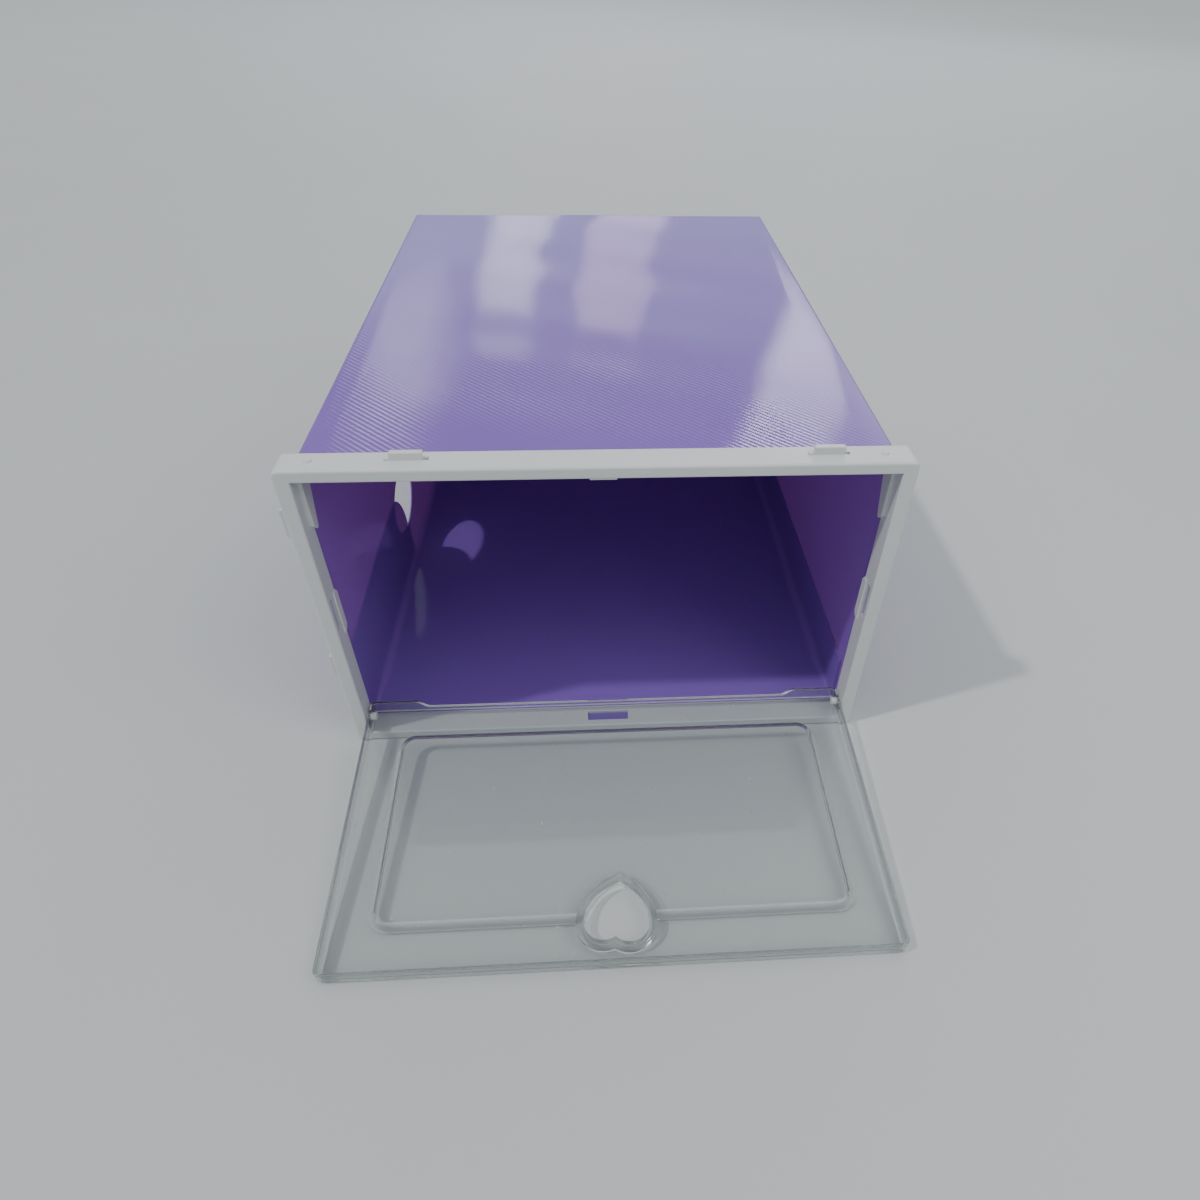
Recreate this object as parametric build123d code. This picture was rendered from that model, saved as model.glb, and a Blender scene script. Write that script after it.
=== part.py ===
from build123d import *
from math import asin, atan2, degrees, hypot
import os

# Drop-front shoe box: a moulded front frame, a folded plastic-sheet body and a clear flap door.
# +X right, +Y to the back, +Z up, millimetres. z = 0 is the surface that the box stands on. The
# sub-parts are built with the front face of the frame at y = 0 and the door closed; the door is
# then swung open, and everything is moved so that the origin is the middle of the box's underside.

# ---- Front frame ----
FRAME_W = 235.0
FRAME_H = 142.0
FRAME_DEPTH = 13.0
FRAME_CORNER_R = 2.4
FRAME_EDGE_R = 1.0
LIP_EDGE_R = 0.7
FACE_T = 2.0
WALL_T = 2.0
JAMB_W = 5.9
RAIL_H = 4.8
COLLAR_T = 1.0
COLLAR_TOP_T = 0.8
COLLAR_BACK = 10.5
SILL_BACK = 12.6
OPEN_HALF = FRAME_W / 2 - JAMB_W
OPEN_TOP = FRAME_H - RAIL_H
COLLAR_HALF = OPEN_HALF + COLLAR_T
OVERLAP = 0.5

# ---- Stop ledges, jamb windows, sill slot and catch ----
STOP_LEN = 25.2
STOP_T = 2.4
STOP_PLAY = 0.4
STOP_BEVEL = 2.5
STOP_STEP = 4.0
STOP_BACK = 15.4
STOP_SLOPE = 16.0
STOP_R = 0.9
WINDOW_LOW = 65.5
WINDOW_HIGH = 82.0
WINDOW_FRONT = 2.7
WINDOW_BACK = 5.5
TONGUE_LOW = 60.4
TONGUE_HIGH = 82.2
TONGUE_FRONT = 7.6
TONGUE_BACK = 12.4
TONGUE_BEVEL = 2.0
TONGUE_EDGE = 0.4
SILL_SLOT_HALF = 9.6
SILL_SLOT_FRONT = 3.4
SILL_SLOT_BACK = 8.8
CATCH_HALF = 5.0
CATCH_FRONT = 0.4
CATCH_BACK = 1.6
CATCH_DROP = 0.5

# ---- Stacking clips and the slots that take them ----
CLIP_LEN = 11.8
CLIP_H = 3.0
TOP_CLIP_FRONT = 6.8
SIDE_CLIP_FRONT = 4.4
CLIP_STEM = 1.6
CLIP_HEAD = 2.6
CLIP_HEAD_H = 1.3
CLIP_R = 0.45
MARK_LEN = 2.0
MARK_H = 0.7
MARK_SINK = 0.9
TOP_CLIPS = (-70.8, 84.4)
SIDE_CLIPS = (117.6, 44.1)
SLOT_PLAY = 0.5
PIP_X = 105.6
PIP_Y = 7.2
PIP_R = 1.6
PIP_H = 0.7
PIP_TAPER = 35

# ---- Hinge ----
HINGE_Y = 4.0
HINGE_Z = 12.4
PEG_R = 1.9
PEG_PLAY = 0.08
PEG_END = 107.6
PEG_EDGE_R = 0.4

# ---- Door ----
DOOR_GAP = 0.6
DOOR_HALF = OPEN_HALF - DOOR_GAP
DOOR_TOP = OPEN_TOP - 1.0
DOOR_BOTTOM = RAIL_H + 1.2
DOOR_T = 1.5
DOOR_CORNER_R = 3.2
DOOR_EDGE_R = 1.4
SOFT_R = 1.0
RIM_EDGE_R = 0.4
RIM_T = 1.3
RIM_H = 7.0
RIM_LOW = 3.0
EAR_IN = 83.0
EAR_OUT = 91.0
PANEL_RISE = 3.5
PANEL_DRAFT = 2.4
PANEL_HALF = 95.6
PANEL_LOW = HINGE_Z + 10.8
PANEL_HIGH = HINGE_Z + 106.0
PANEL_R = 8.0
PANEL_EDGE_R = 1.4
HEART_HALF = 12.7
HEART_LOBE_R = 7.7
HEART_POINT = 18.0
HEART_TOP = HINGE_Z + 115.4
HEART_TILT = 6.0
HEART_SHIFT = 0.5
HEART_RIM = 3.0
HEART_STEP = 0.7
HEART_RIM_TOP = PANEL_RISE + DOOR_T + 0.8
EAR_EASE = 4.0
PANEL_WALL = 0.9

# ---- Folded sheet body ----
SHEET = 0.7
BODY_FRONT = 3.6
BODY_BACK = 331.3
SHEET_HALF = COLLAR_HALF + SHEET
SHEET_TOP = OPEN_TOP + COLLAR_TOP_T
FLOOR_FRONT_Z = RAIL_H - COLLAR_T - SHEET
FLOOR_BEND_Y = 16.0
FLOOR_TOUCH_Y = 110.0
HOLE_Y = 151.5
HOLE_Z = 38.0
HOLE_LEN = 50.0
HOLE_HIGH = 32.6
LAP_TOP = 28.0
LAP_FRONT = SILL_BACK + 3.0
FLAP_FRONT = 14.4
FLAP_BACK = 152.0
FLAP_TOP = 50.0
FLAP_R = 32.0
TUCK_DEPTH = 18.0
TUCK_INSET = 4.0
TUCK_R = 8.0

# The door lies open with the outer edge of its free end on the table.
DOOR_REACH = DOOR_TOP - HINGE_Z
HINGE_AXIS = Axis((0, HINGE_Y, HINGE_Z), (1, 0, 0))
SAG = degrees(asin(HINGE_Z / hypot(DOOR_REACH, HINGE_Y)) - atan2(HINGE_Y, DOOR_REACH))
OPEN_ANGLE = 90.0 + SAG


def block(x0, x1, y0, y1, z0, z1):
    """Box between two corners."""
    centre = Pos((x0 + x1) / 2, (y0 + y1) / 2, (z0 + z1) / 2)
    return centre * Box(x1 - x0, y1 - y0, z1 - z0)


def prism_y(sketch, y0, y1):
    """Sketch in x and z, pulled from y0 to y1."""
    return extrude(Plane.XZ.offset(-y0) * sketch, amount=y0 - y1)


def prism_x(sketch, x0, x1):
    """Sketch in y and z, pulled from x0 to x1."""
    return extrude(Plane.YZ.offset(x0) * sketch, amount=x1 - x0)


def upright(width, z0, z1, radius=0.0):
    """Rectangle in x and z, centred on x = 0."""
    place = Pos(0, (z0 + z1) / 2)
    if radius:
        return place * RectangleRounded(width, z1 - z0, radius)
    return place * Rectangle(width, z1 - z0)


def polygon(*points):
    return make_face(Polyline(*points, close=True))


# ---------------------------------------------------------------- frame
def frame_shell():
    """Face plate and outer wall round the doorway, with the collar that the sheet slides over."""
    shell = prism_y(upright(FRAME_W, 0, FRAME_H, FRAME_CORNER_R), 0, FRAME_DEPTH)
    front = shell.edges().group_by(Axis.Y)[0]
    shell = fillet(front, FRAME_EDGE_R)
    shell -= prism_y(upright(FRAME_W - 2 * WALL_T, WALL_T, FRAME_H - WALL_T, 1.0), FACE_T, FRAME_DEPTH)
    collar = upright(2 * COLLAR_HALF, RAIL_H - COLLAR_T, OPEN_TOP + COLLAR_TOP_T)
    shell += prism_y(collar, FACE_T, COLLAR_BACK)
    shell += block(-COLLAR_HALF, COLLAR_HALF, FACE_T, SILL_BACK, RAIL_H - COLLAR_T, RAIL_H)
    shell -= prism_y(upright(2 * OPEN_HALF, RAIL_H, OPEN_TOP), 0, FRAME_DEPTH + 1)
    near = [e for e in shell.edges().group_by(Axis.Y)[0] if abs(e.center().X) < OPEN_HALF + OVERLAP]
    lip = [e for e in near if RAIL_H - OVERLAP < e.center().Z < OPEN_TOP + OVERLAP]
    return fillet(lip, LIP_EDGE_R)


def both_sides(shape, side):
    """The shape as built for the right side, or mirrored for the left one."""
    return shape if side > 0 else mirror(shape, Plane.YZ)


def stop_ledge(side):
    """Raised ledge at the head of a jamb, which the closed door stops against."""
    low = OPEN_TOP - STOP_LEN
    front = RIM_H + STOP_PLAY
    outline = polygon(
        (front, OPEN_TOP),
        (front, low + STOP_BEVEL),
        (front + STOP_BEVEL, low),
        (front + STOP_STEP, low),
        (STOP_BACK, low + STOP_SLOPE),
        (STOP_BACK, OPEN_TOP),
    )
    ledge = prism_x(outline, COLLAR_HALF - STOP_T, COLLAR_HALF)
    ledge = fillet(ledge.edges().filter_by(Axis.X).group_by(Axis.Z)[0], STOP_R)
    return both_sides(ledge, side)


def jamb_window(side):
    """Slot through the collar halfway up a jamb, and the tongue behind it."""
    slot = block(OPEN_HALF - 1, COLLAR_HALF + 0.3, WINDOW_FRONT, WINDOW_BACK, WINDOW_LOW, WINDOW_HIGH)
    middle = TONGUE_BACK - TONGUE_BEVEL
    outline = polygon(
        (TONGUE_FRONT, TONGUE_LOW),
        (middle, TONGUE_LOW),
        (TONGUE_BACK, TONGUE_LOW + TONGUE_BEVEL),
        (TONGUE_BACK, TONGUE_HIGH - TONGUE_BEVEL),
        (middle, TONGUE_HIGH),
        (TONGUE_FRONT, TONGUE_HIGH),
    )
    tongue = prism_x(outline, OPEN_HALF - OVERLAP, COLLAR_HALF)
    tongue = chamfer(tongue.faces().sort_by(Axis.X)[0].edges(), TONGUE_EDGE)
    return both_sides(slot, side), both_sides(tongue, side)


def clip(front):
    """Hooked stacking clip, standing on z = 0 and centred on x = 0, with its moulding mark."""
    half = CLIP_LEN / 2
    stem_back = front + CLIP_STEM
    stem = block(-half, half, front, stem_back, -OVERLAP, CLIP_H)
    head = block(-half, half, front, front + CLIP_HEAD, CLIP_H - CLIP_HEAD_H, CLIP_H)
    hook = stem + head
    hook = fillet(hook.edges().group_by(Axis.Z)[-1], CLIP_R)
    return hook + block(-half - MARK_LEN, -half, front, stem_back, -OVERLAP, MARK_H)


def clip_slot(front):
    """Opening that takes a clip, sunk through the wall below z = 0."""
    half = CLIP_LEN / 2 + SLOT_PLAY
    return block(-half, half, front - SLOT_PLAY, front + CLIP_HEAD + SLOT_PLAY, -WALL_T - OVERLAP, OVERLAP)


def sunk_mark():
    """Shallow moulded recess beside a top clip."""
    start = CLIP_LEN / 2
    front = TOP_CLIP_FRONT + 0.2
    return block(start, start + MARK_LEN, front, front + CLIP_STEM, -MARK_SINK, OVERLAP)


def hinge_peg(side):
    """Peg that stands inward from a jamb into the door's bore."""
    peg = Plane.YZ.offset(PEG_END) * Pos(HINGE_Y, HINGE_Z) * Circle(PEG_R)
    peg = extrude(peg, amount=OPEN_HALF + OVERLAP - PEG_END)
    peg = fillet(peg.edges().sort_by(Axis.X)[0], PEG_EDGE_R)
    return both_sides(peg, side)


def on_top(shape, x):
    return Pos(x, 0, FRAME_H) * shape


def on_left(shape, z):
    return Pos(-FRAME_W / 2, 0, z) * (Rot(0, -90, 0) * shape)


def on_right(shape, z):
    return Pos(FRAME_W / 2, 0, z) * (Rot(0, 90, 0) * shape)


def front_frame():
    body = frame_shell()
    for side in (-1, 1):
        slot, tongue = jamb_window(side)
        body = body - slot + tongue + stop_ledge(side) + hinge_peg(side)
        body += Pos(side * PIP_X, PIP_Y, FRAME_H) * extrude(Circle(PIP_R), amount=PIP_H, taper=PIP_TAPER)
    sill = RAIL_H - COLLAR_T
    body -= block(
        -SILL_SLOT_HALF, SILL_SLOT_HALF, SILL_SLOT_FRONT, SILL_SLOT_BACK, sill - OVERLAP, RAIL_H + OVERLAP
    )
    body += block(-CATCH_HALF, CATCH_HALF, CATCH_FRONT, CATCH_BACK, OPEN_TOP - CATCH_DROP, OPEN_TOP + 0.2)
    for x in TOP_CLIPS:
        body += on_top(clip(TOP_CLIP_FRONT), x)
        body -= on_top(sunk_mark(), x)
        body -= Pos(x, 0, 0) * mirror(clip_slot(TOP_CLIP_FRONT), Plane.XY)
    for z in SIDE_CLIPS:
        body += on_left(clip(SIDE_CLIP_FRONT), z)
        body -= on_right(clip_slot(SIDE_CLIP_FRONT), z)
    return body


# ---------------------------------------------------------------- door
def heart(grow=0.0):
    """Heart outline in x and z with its point down, turned a little, and larger all round by grow."""
    c = HEART_TOP - HEART_LOBE_R
    lobe_x = HEART_HALF - HEART_LOBE_R
    r = HEART_LOBE_R + grow
    half = HEART_HALF + grow
    dip = c + (r**2 - lobe_x**2) ** 0.5
    point = c - HEART_POINT - 1.4 * grow
    edges = []
    for s in (1, -1):
        edges.append(ThreePointArc((0, dip), (s * lobe_x, c + r), (s * half, c)))
        edges.append(Bezier((s * half, c), (s * half, c - 9.6), (s * 8.2, c - 14.6 - grow), (0, point)))
    middle = Pos(0, c - 4)
    turned = middle * Rot(0, 0, HEART_TILT) * middle.inverse() * make_face(Wire(edges))
    return Pos(HEART_SHIFT, 0) * turned


def panel_block(inset, y0, y1):
    """Block of the raised panel's shape, with drafted sides and a rounded far edge."""
    draft = PANEL_DRAFT * (y1 - y0) / PANEL_RISE
    first = upright(2 * (PANEL_HALF - inset), PANEL_LOW + inset, PANEL_HIGH - inset, PANEL_R - inset)
    far = inset + draft
    last = upright(2 * (PANEL_HALF - far), PANEL_LOW + far, PANEL_HIGH - far, PANEL_R - far)
    shape = loft([Plane.XZ.offset(-y0) * first, Plane.XZ.offset(-y1) * last])
    return fillet(shape.edges().group_by(Axis.Y)[-1], PANEL_EDGE_R)


def panel_foot(leaf, y):
    """Edges of the raised panel's outline in the plane y."""
    near = leaf.edges().filter_by_position(Axis.Y, y - 0.01, y + 0.01)
    inside = near.filter_by_position(Axis.X, -PANEL_HALF - 0.1, PANEL_HALF + 0.1)
    return inside.filter_by_position(Axis.Z, PANEL_LOW - 0.1, PANEL_HIGH + 0.1)


def door_tray():
    """Plate with its rim, the two ears and the raised panel."""
    leaf = prism_y(upright(2 * DOOR_HALF, DOOR_BOTTOM, DOOR_TOP, DOOR_CORNER_R), 0, RIM_H)
    leaf = fillet(leaf.edges().group_by(Axis.Y)[0], DOOR_EDGE_R)
    hollow = upright(
        2 * (DOOR_HALF - RIM_T), DOOR_BOTTOM + RIM_T, DOOR_TOP - RIM_T, DOOR_CORNER_R - RIM_T
    )
    hollow = prism_y(hollow, DOOR_T, RIM_H + 1)
    leaf -= fillet(hollow.edges().group_by(Axis.Y)[0], SOFT_R)
    leaf = fillet(leaf.edges().group_by(Axis.Y)[-1], RIM_EDGE_R)
    leaf -= ear_cut()
    leaf += panel_block(0, DOOR_T, DOOR_T + PANEL_RISE)
    leaf = fillet(panel_foot(leaf, DOOR_T), SOFT_R)
    leaf -= panel_block(PANEL_WALL, 0, PANEL_RISE)
    return fillet(panel_foot(leaf, 0), SOFT_R)


def heart_rim():
    """Raised rim of the finger hole, with a step round its top."""
    rim = prism_y(heart(HEART_RIM), 0, HEART_RIM_TOP - HEART_STEP)
    rim += prism_y(heart(HEART_RIM - HEART_STEP), 0, HEART_RIM_TOP)
    return rim - prism_y(heart(), -1, HEART_RIM_TOP + 1)


def door():
    """Clear tray that closes the doorway, with its heart-shaped finger hole."""
    leaf = door_tray() - prism_y(heart(HEART_RIM / 2), -1, HEART_RIM_TOP + 1) + heart_rim()
    bore = Plane.YZ.offset(-DOOR_HALF - 1) * Pos(HINGE_Y, HINGE_Z) * Circle(PEG_R + PEG_PLAY)
    leaf -= extrude(bore, amount=2 * DOOR_HALF + 2)
    return leaf.rotate(HINGE_AXIS, OPEN_ANGLE)


def ear_cut():
    """What is taken off the hinge-side rim between its two ears, in an S curve at each end."""
    above = RIM_H + 1
    high_in = EAR_OUT - EAR_EASE
    low_out = EAR_IN + EAR_EASE
    left = Bezier((-EAR_OUT, RIM_H), (-high_in, RIM_H), (-low_out, RIM_LOW), (-EAR_IN, RIM_LOW))
    right = Bezier((EAR_IN, RIM_LOW), (low_out, RIM_LOW), (high_in, RIM_H), (EAR_OUT, RIM_H))
    low = Line((-EAR_IN, RIM_LOW), (EAR_IN, RIM_LOW))
    lid = Polyline((EAR_OUT, RIM_H), (EAR_OUT, above), (-EAR_OUT, above), (-EAR_OUT, RIM_H))
    outline = make_face(Wire([left, low, right, *lid.edges()]))
    return Pos(0, 0, DOOR_BOTTOM - 1) * extrude(outline, amount=RIM_T + 1)


# ---------------------------------------------------------------- body
def floor_line(lift):
    """Line of the floor in y and z: over the frame's rail at the front, on the table further back."""
    front = [(BODY_FRONT, FLOOR_FRONT_Z + lift), (FLOOR_BEND_Y, FLOOR_FRONT_Z + lift)]
    return front + [(FLOOR_TOUCH_Y, lift), (BODY_BACK, lift)]


def wall_sheet(x0, x1):
    """Whole side of the body, from the floor sheet up to the top sheet."""
    outline = polygon(*floor_line(SHEET), (BODY_BACK, SHEET_TOP), (BODY_FRONT, SHEET_TOP))
    return prism_x(outline, x0, x1)


def top_panel():
    return block(-SHEET_HALF, SHEET_HALF, BODY_FRONT, BODY_BACK, SHEET_TOP, SHEET_TOP + SHEET)


def floor_panel():
    outline = polygon(*floor_line(0), *reversed(floor_line(SHEET)))
    return prism_x(outline, -SHEET_HALF - SHEET, SHEET_HALF)


def left_wall():
    hole = Pos(HOLE_Y, HOLE_Z) * Ellipse(HOLE_LEN / 2, HOLE_HIGH / 2)
    return wall_sheet(-SHEET_HALF, -COLLAR_HALF) - prism_x(hole, -SHEET_HALF - 1, -COLLAR_HALF + 1)


def right_wall():
    return wall_sheet(COLLAR_HALF, SHEET_HALF)


def back_panel():
    return block(-COLLAR_HALF, COLLAR_HALF, BODY_BACK - SHEET, BODY_BACK, SHEET, SHEET_TOP)


def right_seam_flap():
    """Lap of the floor sheet, folded up inside the right wall."""
    inner = COLLAR_HALF - SHEET
    lap = block(inner, COLLAR_HALF, LAP_FRONT, BODY_BACK - SHEET, 0, LAP_TOP)
    return lap & wall_sheet(inner, COLLAR_HALF)


def left_seam_flap():
    """Lap of the floor sheet, folded up outside the left wall, with one wide round corner."""
    outer = -SHEET_HALF - SHEET
    flap = block(outer, -SHEET_HALF, FLAP_FRONT, FLAP_BACK, 0, FLAP_TOP)
    corners = flap.edges().filter_by(Axis.X).group_by(Axis.Z)[-1].sort_by(Axis.Y)
    flap = fillet(corners[-1], FLAP_R)
    return flap & wall_sheet(outer, -SHEET_HALF)


def back_tuck_flap():
    """Flap of the back panel, folded forward onto the floor."""
    half = COLLAR_HALF - TUCK_INSET
    y1 = BODY_BACK - SHEET
    flap = block(-half, half, y1 - TUCK_DEPTH, y1, SHEET, 2 * SHEET)
    return fillet(flap.edges().filter_by(Axis.Z).group_by(Axis.Y)[0], TUCK_R)


def main():
    os.makedirs("parts", exist_ok=True)
    nodes = {
        "front_frame": front_frame(),
        "door": door(),
        "body_top_panel": top_panel(),
        "body_left_wall": left_wall(),
        "body_right_wall": right_wall(),
        "body_floor": floor_panel(),
        "body_back_panel": back_panel(),
        "right_seam_flap": right_seam_flap(),
        "left_seam_flap": left_seam_flap(),
        "back_tuck_flap": back_tuck_flap(),
    }
    for name, shape in nodes.items():
        export_step(Pos(0, -BODY_BACK / 2, 0) * shape, f"parts/{name}.step")
    print(f"the door opens {OPEN_ANGLE:.3f} degrees")


main()
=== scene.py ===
import math

import bmesh
import bpy
from mathutils import Matrix, Vector


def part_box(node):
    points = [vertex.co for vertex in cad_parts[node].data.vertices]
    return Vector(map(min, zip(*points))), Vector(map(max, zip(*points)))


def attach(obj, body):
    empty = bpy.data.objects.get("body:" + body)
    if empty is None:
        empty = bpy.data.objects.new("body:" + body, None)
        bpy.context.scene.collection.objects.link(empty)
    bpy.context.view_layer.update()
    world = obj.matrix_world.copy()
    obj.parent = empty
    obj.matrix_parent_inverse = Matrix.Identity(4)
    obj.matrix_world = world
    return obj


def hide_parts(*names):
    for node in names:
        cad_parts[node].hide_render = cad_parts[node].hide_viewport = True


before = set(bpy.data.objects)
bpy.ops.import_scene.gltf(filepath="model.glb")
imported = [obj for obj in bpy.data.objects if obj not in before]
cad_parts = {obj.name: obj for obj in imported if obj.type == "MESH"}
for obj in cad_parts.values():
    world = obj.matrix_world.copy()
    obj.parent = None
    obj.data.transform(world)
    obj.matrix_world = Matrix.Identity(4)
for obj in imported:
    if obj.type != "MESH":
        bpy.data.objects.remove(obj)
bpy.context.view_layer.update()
MM = 0.001

# The folded sheet, in millimetres: its folds, rounded corners, clearances and diagonal ribs.
FOLD_R = 1.3
FLOOR_FOLD_R = 4.5
TUCK_R = 8.0
FLAP_R = 32.0
LAYER_GAP = 0.15
SIDE_GAP = 0.3
RIB_PITCH = 2.2
RIB_RISE = 0.045
# How far above the middle of the floor sheet the right wall and the outer lap end.
WALL_FOOT = 0.6
FLAP_FOOT = 0.4

# How finely the sheet is made: faces to a rib and to a fold, halvings that find a cut's edge, slacks in
# millimetres that count as touching, and the angle in degrees from which an edge is shaded as sharp.
RIB_STEPS = 4
FOLD_STEPS = 5
HALVINGS = 20
TRIM_SLACK = 1e-4
RUN_SLACK = 1e-6
SHARP_ANGLE = 40

# Where the sheet changes along the box, in millimetres from the frame's front face: the floor comes down
# from the frame's lower rail to the table, its folds open out, and the panels come loose from the frame.
RAIL_END, TABLE_FROM = 16, 110
FOLDS_HELD, FOLDS_OPEN = 13, 48
SWAY_FROM, SWAY_FULL = 12, 70
# The lengths of a section's runs are measured here, behind all of those changes.
MEASURE_Y = 200

# The loose panels, by their place among the runs of the body's section, and their waves: each has a
# height, a length divided by 2 pi, a phase, and how much the phase turns across the panel.
LEFT_WALL, TOP, RIGHT_WALL = 4, 6, 8
TOP_WAVES = ((0.5, 47, 1.1, 0), (0.3, 29, 0, 5), (0.09, 9.5, 0, 11), (0.07, 14, 0, -17))
TOP_SAG = 0.5
WALL_WAVES = ((0.4, 61, 0, 2), (0.05, 13, 0, 7))

# The rim of the left wall's hole is what lies further than this from the wall's ends and top, and higher
# than this above the table.
HOLE_MARGIN = 20
HOLE_ABOVE = 15

# Each pair of colours is what a material's cloudy tone varies between; CLEAR_SHADOW's pair is the exception.
PURPLE = ((0.285, 0.165, 0.62, 1), (0.325, 0.195, 0.68, 1))
PURPLE_GLOW = (0.74, 0.38, 0.72, 1)
PURPLE_GLOW_SHARE = 0.29
WHITE = ((0.64, 0.66, 0.65, 1), (0.72, 0.74, 0.735, 1))
CLEAR = (0.85, 0.88, 0.88, 1)
# Painted shadow: the tint that lamp light and the deepest rays take through the door, from its upright walls
# to its flat faces.
CLEAR_SHADOW = ((0.22, 0.23, 0.23, 1), (0.87, 0.89, 0.89, 1))
PALE_FLOOR = ((0.54, 0.56, 0.55, 1), (0.57, 0.59, 0.58, 1))
# A ray that has been bent or bounced more often than this goes straight on through the clear plastic.
DEEPEST_RAY = 2.5

# The eye: its place in millimetres from the middle of the frame's front face at table level, its yaw,
# pitch and roll in radians, its lens in millimetres and its shift.
CAMERA_PLACE = (-4.05, -260.6, 289.71)
CAMERA_TURN = (0.08698, 0.76539, 0.0297)
CAMERA_LENS = 24.18
CAMERA_SENSOR = 36
CAMERA_SHIFT = (-0.0408, 0.0612)
CAMERA_NEAREST = 0.01

# The studio, in metres. The world's two tones meet between these heights of the direction looked in.
WORLD_LOW = (0.37, 0.38, 0.43, 1)
WORLD_HIGH = (0.80, 0.83, 0.86, 1)
WORLD_BAND = (0.35, 0.9)
LAMPS_AIM = (0, 0, 0.1)
FLOOR_HALF = 40.0
FLOOR_DROP = 0.0002


def corners(node):
    """Lowest and highest corner of a CAD node, in millimetres, y from the front face."""
    low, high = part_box(node)
    shift = Vector((0, FRONT, 0))
    return low / MM - shift, high / MM - shift


def place_in_scene(name, data):
    """A new object for a camera, a light or a mesh, linked to the scene."""
    thing = bpy.data.objects.new(name, data)
    bpy.context.scene.collection.objects.link(thing)
    return thing


# Places read from the CAD model, in millimetres: the front face, and each panel's two corners.
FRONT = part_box("front_frame")[0].y / MM
TOP_LOW, TOP_HIGH = corners("body_top_panel")
LEFT_LOW, LEFT_HIGH = corners("body_left_wall")
RIGHT_LOW, _ = corners("body_right_wall")
FLOOR_LOW, FLOOR_HIGH = corners("body_floor")
LAP_LOW, LAP_HIGH = corners("right_seam_flap")
OUTER_LOW, OUTER_HIGH = corners("left_seam_flap")
BACK_LOW, BACK_HIGH = corners("body_back_panel")
TUCK_LOW, TUCK_HIGH = corners("back_tuck_flap")
THICK = TOP_HIGH.z - TOP_LOW.z


# ---------------------------------------------------------------- sections of the folded sheet
def clamp(x):
    return min(max(x, 0.0), 1.0)


def smooth(a, b, x):
    """0 before a, 1 after b, and an even curve between them."""
    t = clamp((x - a) / (b - a))
    return t * t * (3 - 2 * t)


def floor_mid(y):
    """Middle of the floor sheet: over the frame's rail at the front, on the table further back."""
    drop = FLOOR_HIGH.z - THICK
    return FLOOR_LOW.z + THICK / 2 + drop * (1 - clamp((y - RAIL_END) / (TABLE_FROM - RAIL_END)))


def floor_radius(y):
    """The floor's folds are tight where the frame's collar holds them, and open out behind it."""
    return FOLD_R + (FLOOR_FOLD_R - FOLD_R) * smooth(FOLDS_HELD, FOLDS_OPEN, y)


def tight_radius(_):
    """The other folds are the same all along."""
    return FOLD_R


def line(a, b, normal, count):
    """Straight run of a section between two points that depend on y, as so many faces."""
    def place(t, y):
        p, q = a(y), b(y)
        return (p[0] + (q[0] - p[0]) * t, p[1] + (q[1] - p[1]) * t), normal
    return place, math.dist(a(MEASURE_Y), b(MEASURE_Y)), count


def arc(centre, radius, start, end):
    """Rounded fold of a section, with angles in degrees."""
    def place(t, y):
        angle = math.radians(start + (end - start) * t)
        c, r = centre(y), radius(y)
        n = (math.cos(angle), math.sin(angle))
        return (c[0] + r * n[0], c[1] + r * n[1]), n
    return place, radius(MEASURE_Y) * math.radians(abs(end - start)), FOLD_STEPS


def wrap_section():
    """The body's sheet, seen from the front: lap, floor, left wall, top and right wall."""
    lap = LAP_LOW.x + THICK / 2 - LAYER_GAP
    wall = RIGHT_LOW.x + THICK / 2
    top = TOP_LOW.z + THICK / 2
    side = wall - FOLD_R
    eave = top - FOLD_R

    def foot(y):
        return floor_mid(y) + floor_radius(y)

    def floor_left(y):
        return floor_radius(y) - wall

    def floor_right(y):
        return lap - floor_radius(y)

    return [
        line(lambda y: (lap, LAP_HIGH.z), lambda y: (lap, foot(y)), (1, 0), 5),
        arc(lambda y: (floor_right(y), foot(y)), floor_radius, 0, -90),
        line(lambda y: (floor_right(y), floor_mid(y)), lambda y: (floor_left(y), floor_mid(y)), (0, -1), 14),
        arc(lambda y: (floor_left(y), foot(y)), floor_radius, -90, -180),
        line(lambda y: (-wall, foot(y)), lambda y: (-wall, eave), (-1, 0), 26),
        arc(lambda y: (-side, eave), tight_radius, 180, 90),
        line(lambda y: (-side, top), lambda y: (side, top), (0, 1), 24),
        arc(lambda y: (side, eave), tight_radius, 90, 0),
        line(lambda y: (wall, eave), lambda y: (wall, floor_mid(y) + WALL_FOOT), (1, 0), 14),
    ]


def back_section():
    """The back panel and its tuck flap, seen from the side, with y and z as the section's plane."""
    back = BACK_LOW.y + THICK / 2
    foot = TUCK_LOW.z + THICK / 2 + LAYER_GAP
    inner, low = back - FOLD_R, foot + FOLD_R
    return [
        line(lambda x: (back, BACK_HIGH.z - LAYER_GAP), lambda x: (back, low), (1, 0), 10),
        arc(lambda x: (inner, low), tight_radius, 0, -90),
        line(lambda x: (inner, foot), lambda x: (TUCK_LOW.y, foot), (0, -1), 3),
    ]


def flap_section():
    """The lap outside the left wall, a little clear of it."""
    x = OUTER_HIGH.x - THICK / 2 - LAYER_GAP
    return [line(lambda y: (x, floor_mid(y) + FLAP_FOOT), lambda y: (x, OUTER_HIGH.z), (-1, 0), 10)]


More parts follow.
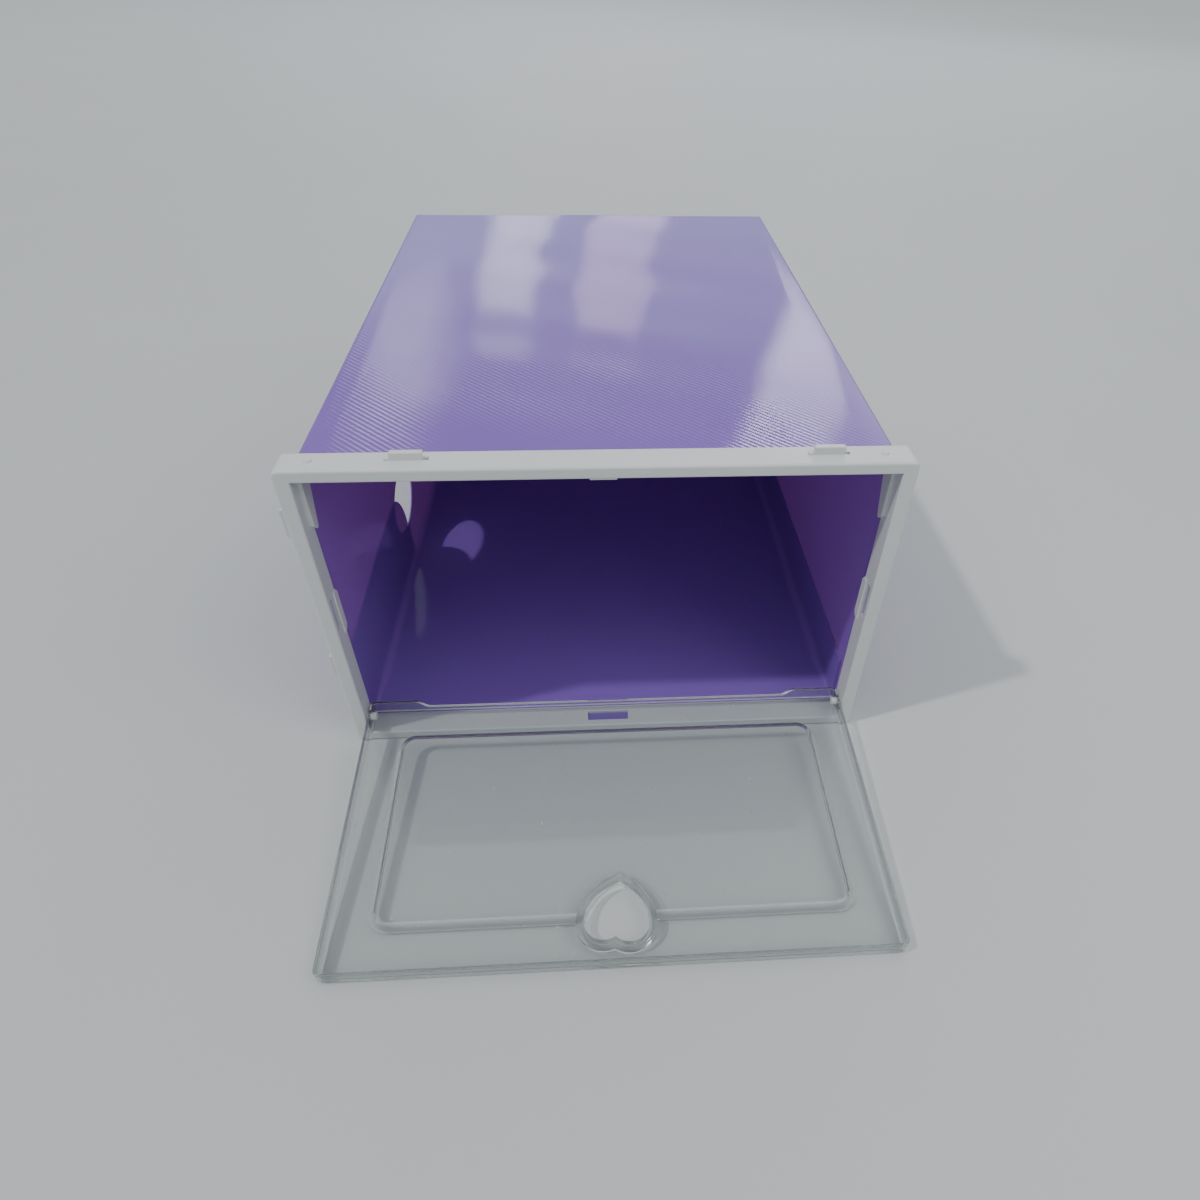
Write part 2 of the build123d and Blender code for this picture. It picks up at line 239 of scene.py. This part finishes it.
# ---------------------------------------------------------------- folded sheet
def flat_grid(section, low, high):
    """The unrolled sheet as faces whose long edges follow its ribs, at 45 degrees."""
    step = RIB_PITCH * math.sqrt(2) / RIB_STEPS
    us = [0.0]
    for _, length, count in section:
        start = us[-1]
        us += [start + length * (k + 1) / count for k in range(count)]
    bm = bmesh.new()
    made = {}

    def vert(i, j):
        if (i, j) not in made:
            made[i, j] = bm.verts.new((us[i], j * step - us[i], 0))
        return made[i, j]

    for i in range(len(us) - 1):
        first = math.floor((low + us[i]) / step) - 1
        last = math.ceil((high + us[i + 1]) / step) + 1
        for j in range(first, last):
            bm.faces.new((vert(i, j), vert(i + 1, j), vert(i + 1, j + 1), vert(i, j + 1)))
    for edge, side in ((low, -1), (high, 1)):
        geometry = bm.verts[:] + bm.edges[:] + bm.faces[:]
        bmesh.ops.bisect_plane(
            bm, geom=geometry, dist=TRIM_SLACK, plane_co=(0, edge, 0), plane_no=(0, side, 0), clear_outer=True
        )
    return bm


def crossing(edge, a, inside, side):
    """How far along an edge, from its end a, inside(u, y) changes its sign: found by halving."""
    b = edge.other_vert(a)
    low, high = 0.0, 1.0
    for _ in range(HALVINGS):
        middle = (low + high) / 2
        p = a.co.lerp(b.co, middle)
        if inside(p.x, p.y) * side > 0:
            low = middle
        else:
            high = middle
    return low


def cut(bm, inside):
    """Takes away the part of a flat grid where inside(u, y) is over 0, with a smooth edge."""
    value = {v: inside(v.co.x, v.co.y) for v in bm.verts}
    new = set()
    for e in [e for e in bm.edges if value[e.verts[0]] * value[e.verts[1]] < 0]:
        a = e.verts[0]
        new.add(bmesh.utils.edge_split(e, a, crossing(e, a, inside, value[a]))[1])
    for f in list(bm.faces):
        ends = [v for v in f.verts if v in new]
        if len(ends) == 2 and not any(set(e.verts) == set(ends) for e in f.edges):
            bmesh.utils.face_split(f, ends[0], ends[1])
    gone = []
    for f in bm.faces:
        middle = f.calc_center_median()
        if inside(middle.x, middle.y) > 0:
            gone.append(f)
    bmesh.ops.delete(bm, geom=gone, context="FACES")


def rib(u, y):
    """Height of the diagonal ribs at a point of the unrolled sheet."""
    return RIB_RISE * math.cos(2 * math.pi * (u + y) / math.sqrt(2) / RIB_PITCH)


def shell_faces(bm):
    """Both sides of a flat grid and the rim between them, as point numbers: outer side first."""
    count = len(bm.verts)
    faces = []
    for f in bm.faces:
        loop = [v.index for v in f.verts]
        faces.append(loop)
        faces.append([i + count for i in reversed(loop)])
    for e in bm.edges:
        if len(e.link_faces) == 1:
            a, b = (v.index for v in e.verts)
            loop = [v.index for v in e.link_faces[0].verts]
            if loop[(loop.index(a) + 1) % len(loop)] != b:
                a, b = b, a
            faces.append([b, a, a + count, b + count])
    return faces


def mesh_piece(name, points, faces):
    """A smooth-shaded object with sharp edges at its rim, from points in millimetres."""
    mesh = bpy.data.meshes.new(name)
    mesh.from_pydata([Vector(p) * MM for p in points], [], faces)
    mesh.shade_smooth()
    mesh.set_sharp_from_angle(angle=math.radians(SHARP_ANGLE))
    piece = place_in_scene(name, mesh)
    work = bmesh.new()
    work.from_mesh(mesh)
    bmesh.ops.recalc_face_normals(work, faces=work.faces)
    work.to_mesh(mesh)
    work.free()
    return piece


def no_sway(run, t, y):
    """The smaller sheets lie flat."""
    return 0.0


def thick_sheet(name, bm, section, spread, sway=no_sway):
    """Gives a flat grid its thickness and ribs, and folds it along its section."""
    ends = [0.0]
    for _, length, _ in section:
        ends.append(ends[-1] + length)

    def fold(u, y, offset):
        run = 0
        while run < len(section) - 1 and u > ends[run + 1] + RUN_SLACK:
            run += 1
        t = clamp((u - ends[run]) / (ends[run + 1] - ends[run]))
        point, normal = section[run][0](t, y)
        move = offset + sway(run, t, y)
        return spread(point[0] + normal[0] * move, point[1] + normal[1] * move, y)

    bm.verts.index_update()
    flat = [(v.co.x, v.co.y) for v in bm.verts]
    points = [fold(u, y, THICK / 2 + rib(u, y) - RIB_RISE) for u, y in flat]
    points += [fold(u, y, -THICK / 2) for u, y in flat]
    faces = shell_faces(bm)
    bm.free()
    return mesh_piece(name, points, faces)


def along_y(x, z, y):
    """A point of a section that runs from front to back."""
    return x, y + FRONT, z


def along_x(y, z, x):
    """A point of a section that runs from side to side."""
    return x, y + FRONT, z


# ---------------------------------------------------------------- the three sheets
def waves(table, t, y):
    """Height of a sum of waves at a point of a panel: t from edge to edge across it, and y along it."""
    return sum(height * math.sin(y / length + phase + turn * t) for height, length, phase, turn in table)


def body_sway(run, t, y):
    """How far the loose panels of the body bulge or sag from flat, away from their folds."""
    if run not in (LEFT_WALL, TOP, RIGHT_WALL):
        return 0.0
    hold = math.sin(math.pi * t) * smooth(SWAY_FROM, SWAY_FULL, y)
    if run == TOP:
        return hold * (waves(TOP_WAVES, t, y) - TOP_SAG)
    return hold * waves(WALL_WAVES, t, y)


def hole_in_left_wall():
    """Measures the wall's hole from the CAD mesh: its middle and half sizes in y and z."""
    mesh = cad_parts["body_left_wall"].data
    rim = []
    for v in mesh.vertices:
        p = v.co / MM - Vector((0, FRONT, 0))
        if LEFT_LOW.y + HOLE_MARGIN < p.y < LEFT_HIGH.y - HOLE_MARGIN:
            if HOLE_ABOVE < p.z < TOP_LOW.z - HOLE_MARGIN:
                rim.append(p)
    ys = [p.y for p in rim]
    zs = [p.z for p in rim]
    return (min(ys) + max(ys)) / 2, (min(zs) + max(zs)) / 2, (max(ys) - min(ys)) / 2, (max(zs) - min(zs)) / 2


def make_body():
    """Top, walls, floor and the lap inside the right wall, as one sheet."""
    section = wrap_section()
    bm = flat_grid(section, LEFT_LOW.y, LEFT_HIGH.y)
    lengths = [length for _, length, _ in section]
    lap_end = lengths[0] + lengths[1]
    wall_u = sum(lengths[:LEFT_WALL])
    wall_z = floor_mid(MEASURE_Y) + floor_radius(MEASURE_Y)
    hole_y, hole_z, half_y, half_z = hole_in_left_wall()

    def hole(u, y):
        """The oval hole in the left wall."""
        z = wall_z + u - wall_u
        return 1 - ((y - hole_y) / half_y) ** 2 - ((z - hole_z) / half_z) ** 2

    def front_of_lap(u, y):
        """The lap starts behind the frame's collar."""
        return min(LAP_LOW.y - y, lap_end - u)

    cut(bm, hole)
    cut(bm, front_of_lap)
    body = thick_sheet("folded_sheet", bm, section, along_y, body_sway)
    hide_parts("body_top_panel", "body_left_wall", "body_right_wall", "body_floor", "right_seam_flap")
    return body


def make_back():
    """The back panel, folded forward at its foot into the tuck flap."""
    section = back_section()
    half = BACK_HIGH.x - SIDE_GAP
    bm = flat_grid(section, -half, half)
    crease = section[0][1] + section[1][1]
    end = crease + section[2][1]
    inset = BACK_HIGH.x - TUCK_HIGH.x

    def corner(u, x):
        """Rounded corners and inset sides of the tuck flap."""
        if u < crease:
            return -1.0
        limit = half - inset
        near_end = TUCK_R - (end - u)
        if near_end > 0:
            limit -= TUCK_R - math.sqrt(max(TUCK_R**2 - near_end**2, 0))
        return abs(x) - limit

    cut(bm, corner)
    back = thick_sheet("back_sheet", bm, section, along_x)
    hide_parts("body_back_panel", "back_tuck_flap")
    return back


def make_flap():
    """The lap outside the left wall."""
    section = flap_section()
    bm = flat_grid(section, OUTER_LOW.y, OUTER_HIGH.y)
    top = section[0][1]

    def corner(u, y):
        """The flap's one wide round corner."""
        du = u - (top - FLAP_R)
        dy = y - (OUTER_HIGH.y - FLAP_R)
        if du < 0 or dy < 0:
            return -1.0
        return du * du + dy * dy - FLAP_R**2

    cut(bm, corner)
    flap = thick_sheet("outer_flap", bm, section, along_y)
    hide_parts("left_seam_flap")
    return flap


# ---------------------------------------------------------------- materials
def material(name):
    """A new material: itself, its nodes and links, its shader and its output."""
    mat = bpy.data.materials.new(name)
    mat.use_nodes = True
    nodes = mat.node_tree.nodes
    return mat, nodes, mat.node_tree.links, nodes["Principled BSDF"], nodes["Material Output"]


def position(nodes, links, scale=(1, 1, 1)):
    """Object coordinates, stretched to the pattern's size."""
    coords = nodes.new("ShaderNodeTexCoord")
    mapping = nodes.new("ShaderNodeMapping")
    mapping.inputs["Scale"].default_value = scale
    links.new(coords.outputs["Object"], mapping.inputs["Vector"])
    return mapping.outputs["Vector"]


def noise(nodes, links, where, scale, detail):
    """A 0 to 1 pattern, mostly from 0.3 to 0.7, with about so many features in a unit of its place."""
    tex = nodes.new("ShaderNodeTexNoise")
    tex.inputs["Scale"].default_value = scale
    tex.inputs["Detail"].default_value = detail
    links.new(where, tex.inputs["Vector"])
    return tex.outputs["Fac"]


def span(nodes, links, value, low, high, from_low=0.3, from_high=0.7):
    """Maps a pattern to a range of numbers."""
    node = nodes.new("ShaderNodeMapRange")
    node.inputs["From Min"].default_value = from_low
    node.inputs["From Max"].default_value = from_high
    node.inputs["To Min"].default_value = low
    node.inputs["To Max"].default_value = high
    links.new(value, node.inputs["Value"])
    return node.outputs["Result"]


def mixed(nodes, links, factor, a, b):
    """Colour a where the factor is 0, and b where it is 1."""
    node = nodes.new("ShaderNodeMix")
    node.data_type = "RGBA"
    node.inputs["A"].default_value = a
    node.inputs["B"].default_value = b
    links.new(factor, node.inputs["Factor"])
    return node.outputs["Result"]


def math_node(nodes, links, operation, a, b):
    """Math node with a link as its first input, and a link or a number as its second."""
    node = nodes.new("ShaderNodeMath")
    node.operation = operation
    links.new(a, node.inputs[0])
    if isinstance(b, float):
        node.inputs[1].default_value = b
    else:
        links.new(b, node.inputs[1])
    return node.outputs["Value"]


def bump(nodes, links, height, distance, strength):
    """A normal that follows a pattern's height, with its distance in metres."""
    node = nodes.new("ShaderNodeBump")
    node.inputs["Distance"].default_value = distance
    node.inputs["Strength"].default_value = strength
    links.new(height, node.inputs["Height"])
    return node.outputs["Normal"]


def two_shaders(nodes, links, factor, a, b, out):
    """Sends a mix of two shaders to the output, with a number or a link as its factor."""
    mix = nodes.new("ShaderNodeMixShader")
    if isinstance(factor, float):
        mix.inputs["Fac"].default_value = factor
    else:
        links.new(factor, mix.inputs["Fac"])
    links.new(a.outputs["BSDF"], mix.inputs[1])
    links.new(b.outputs["BSDF"], mix.inputs[2])
    links.new(mix.outputs["Shader"], out.inputs["Surface"])


def purple_sheet():
    """Glossy coloured sheet that glows with the light from its far side."""
    mat, nodes, links, shader, out = material("purple_sheet")
    where = position(nodes, links)
    cloud = noise(nodes, links, where, 14.0, 3.0)
    fine = noise(nodes, links, where, 420.0, 2.0)
    links.new(mixed(nodes, links, cloud, *PURPLE), shader.inputs["Base Color"])
    links.new(span(nodes, links, fine, 0.05, 0.10), shader.inputs["Roughness"])
    shader.inputs["IOR"].default_value = 1.5
    through = nodes.new("ShaderNodeBsdfTranslucent")
    through.inputs["Color"].default_value = PURPLE_GLOW
    two_shaders(nodes, links, PURPLE_GLOW_SHARE, shader, through, out)
    return mat


def white_plastic():
    """Satin moulded plastic with a faint cloudy tone and a fine grain."""
    mat, nodes, links, shader, _ = material("white_plastic")
    where = position(nodes, links)
    cloud = noise(nodes, links, where, 22.0, 4.0)
    grain = noise(nodes, links, where, 1500.0, 2.0)
    links.new(mixed(nodes, links, cloud, *WHITE), shader.inputs["Base Color"])
    links.new(span(nodes, links, cloud, 0.32, 0.46), shader.inputs["Roughness"])
    links.new(bump(nodes, links, grain, 0.00004, 0.5), shader.inputs["Normal"])
    return mat


def flatness(nodes, links):
    """1 on the door's flat faces, 0 on its upright walls, and between them on rounded edges."""
    coords = nodes.new("ShaderNodeTexCoord")
    split = nodes.new("ShaderNodeSeparateXYZ")
    links.new(coords.outputs["Normal"], split.inputs["Vector"])
    return math_node(nodes, links, "MULTIPLY", split.outputs["Z"], split.outputs["Z"])


def painted_edge_highlight(nodes, links, flat):
    """1 on rounded edges, which get a painted white highlight, and 0 on flat faces and upright walls."""
    rest = math_node(nodes, links, "SUBTRACT", flat, math_node(nodes, links, "MULTIPLY", flat, flat))
    return span(nodes, links, rest, 0.0, 1.0, 0.06, 0.25)


def shadow_tint(nodes, links, flat):
    """Darker on upright walls, which bend light aside, and clear on flat faces."""
    factor = span(nodes, links, flat, 0.0, 1.0, 0.2, 0.9)
    return mixed(nodes, links, factor, *CLEAR_SHADOW)


def clear_plastic():
    """Clear glossy plastic with rub marks, specks, fine scratches and a painted white highlight on its
    rounded edges.
    """
    mat, nodes, links, shader, out = material("clear_plastic")
    where = position(nodes, links)
    cloud = noise(nodes, links, where, 30.0, 4.0)
    specks = noise(nodes, links, where, 520.0, 1.0)
    scratches = noise(nodes, links, position(nodes, links, (900, 70, 900)), 1.0, 2.0)
    shader.inputs["Base Color"].default_value = CLEAR
    shader.inputs["IOR"].default_value = 1.46
    worn = span(nodes, links, scratches, 0.0, 0.22, 0.66, 0.74)
    rubbed = span(nodes, links, cloud, 0.01, 0.05)
    links.new(math_node(nodes, links, "ADD", rubbed, worn), shader.inputs["Roughness"])
    flat = flatness(nodes, links)
    speckled = span(nodes, links, specks, 0.985, 0.72, 0.74, 0.80)
    # Painted highlight: rounded edges let less light through and look whitish, standing in for the bright
    # lines they catch.
    highlight_transmission = span(nodes, links, painted_edge_highlight(nodes, links, flat), 1.0, 0.80, 0.0, 1.0)
    links.new(math_node(nodes, links, "MULTIPLY", speckled, highlight_transmission), shader.inputs["Transmission Weight"])
    ray = nodes.new("ShaderNodeLightPath")
    deep = math_node(nodes, links, "GREATER_THAN", ray.outputs["Ray Depth"], DEEPEST_RAY)
    pass_on = math_node(nodes, links, "MAXIMUM", ray.outputs["Is Shadow Ray"], deep)
    clear = nodes.new("ShaderNodeBsdfTransparent")
    links.new(shadow_tint(nodes, links, flat), clear.inputs["Color"])
    two_shaders(nodes, links, pass_on, shader, clear, out)
    return mat


def floor_material():
    """Matt pale table top with a faint cloudy tone."""
    mat, nodes, links, shader, _ = material("pale_floor")
    cloud = noise(nodes, links, position(nodes, links), 5.0, 4.0)
    links.new(mixed(nodes, links, cloud, *PALE_FLOOR), shader.inputs["Base Color"])
    shader.inputs["Roughness"].default_value = 0.6
    return mat


def dress(piece, mat):
    """Gives a piece its material."""
    piece.data.materials.clear()
    piece.data.materials.append(mat)


# ---------------------------------------------------------------- studio
def make_camera():
    """The eye: in front of the open door and above the box, looking down into it."""
    yaw, pitch, roll = CAMERA_TURN
    forward = Vector((math.sin(yaw) * math.cos(pitch), math.cos(yaw) * math.cos(pitch), -math.sin(pitch)))
    right = Vector((math.cos(yaw), -math.sin(yaw), 0))
    up = right.cross(forward)
    tilted_right = right * math.cos(roll) + up * math.sin(roll)
    tilted_up = up * math.cos(roll) - right * math.sin(roll)
    turn = Matrix((tilted_right, tilted_up, -forward)).transposed().to_4x4()
    place = Vector(CAMERA_PLACE) + Vector((0, FRONT, 0))
    data = bpy.data.cameras.new("camera")
    data.sensor_width = CAMERA_SENSOR
    data.lens = CAMERA_LENS
    data.shift_x, data.shift_y = CAMERA_SHIFT
    data.clip_start = CAMERA_NEAREST
    camera = place_in_scene("camera", data)
    camera.matrix_world = Matrix.Translation(place * MM) @ turn
    bpy.context.scene.camera = camera


def softbox(name, place, size, radiance, colour=(1, 1, 1)):
    """Rectangular light that faces the box, as bright at any distance as its radiance says."""
    data = bpy.data.lights.new(name, "AREA")
    data.shape = "RECTANGLE"
    data.size, data.size_y = size
    data.energy = radiance * math.pi * size[0] * size[1]
    data.color = colour
    lamp = place_in_scene(name, data)
    lamp.location = place
    lamp.rotation_euler = (Vector(LAMPS_AIM) - Vector(place)).to_track_quat("-Z", "Y").to_euler()
    lamp.visible_camera = False


def distant_light(name, towards, strength, angle):
    """Even white light from one direction, with an apparent size in degrees."""
    data = bpy.data.lights.new(name, "SUN")
    data.energy = strength
    data.angle = math.radians(angle)
    lamp = place_in_scene(name, data)
    lamp.rotation_euler = Vector(towards).to_track_quat("Z", "Y").to_euler()


def studio_world():
    """Soft light from all round, brighter overhead than at the horizon."""
    world = bpy.data.worlds.new("studio")
    world.use_nodes = True
    nodes, links = world.node_tree.nodes, world.node_tree.links
    coords = nodes.new("ShaderNodeTexCoord")
    split = nodes.new("ShaderNodeSeparateXYZ")
    links.new(coords.outputs["Generated"], split.inputs["Vector"])
    up = span(nodes, links, split.outputs["Z"], 0.0, 1.0, *WORLD_BAND)
    colour = mixed(nodes, links, up, WORLD_LOW, WORLD_HIGH)
    links.new(colour, nodes["Background"].inputs["Color"])
    bpy.context.scene.world = world


def make_floor():
    """A wide table top, a hair below the box's lowest faces."""
    mesh = bpy.data.meshes.new("floor")
    far = FLOOR_HALF
    mesh.from_pydata([(-far, -far, 0), (far, -far, 0), (far, far, 0), (-far, far, 0)], [], [(0, 1, 2, 3)])
    mesh.materials.append(floor_material())
    floor = place_in_scene("floor", mesh)
    floor.location.z = -FLOOR_DROP


def make_studio():
    """A floor, an even sky, one distant light, and the windows and glows that the glossy sheet mirrors."""
    make_floor()
    studio_world()
    distant_light("side_light", (-0.75, -0.22, 1.0), 1.15, 2.5)
    softbox("back_glow", (0.0, 3.9, 1.25), (2.8, 0.8), 1.35, (0.66, 0.78, 1.0))
    softbox("back_window_left", (-0.29, 3.8, 1.12), (0.26, 0.24), 8.0)
    softbox("back_window_right", (0.20, 3.8, 1.12), (0.32, 0.24), 6.5, (1.0, 0.76, 0.88))
    softbox("right_window", (0.80, 2.48, 1.34), (0.36, 0.34), 10.0, (0.92, 0.94, 1.0))
    softbox("right_glow", (1.50, 2.5, 1.28), (0.9, 0.9), 2.0, (0.86, 0.90, 1.0))
    softbox("left_window", (-0.72, 2.6, 1.32), (0.28, 0.3), 3.2, (0.92, 0.94, 1.0))
    softbox("front_right", (0.60, -0.60, 0.80), (0.5, 0.5), 2.4)


# ---------------------------------------------------------------- scene
make_camera()
make_studio()
SHEET = purple_sheet()
for sheet in (make_body(), make_back(), make_flap()):
    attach(sheet, "box")
    dress(sheet, SHEET)
dress(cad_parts["front_frame"], white_plastic())
dress(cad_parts["door"], clear_plastic())
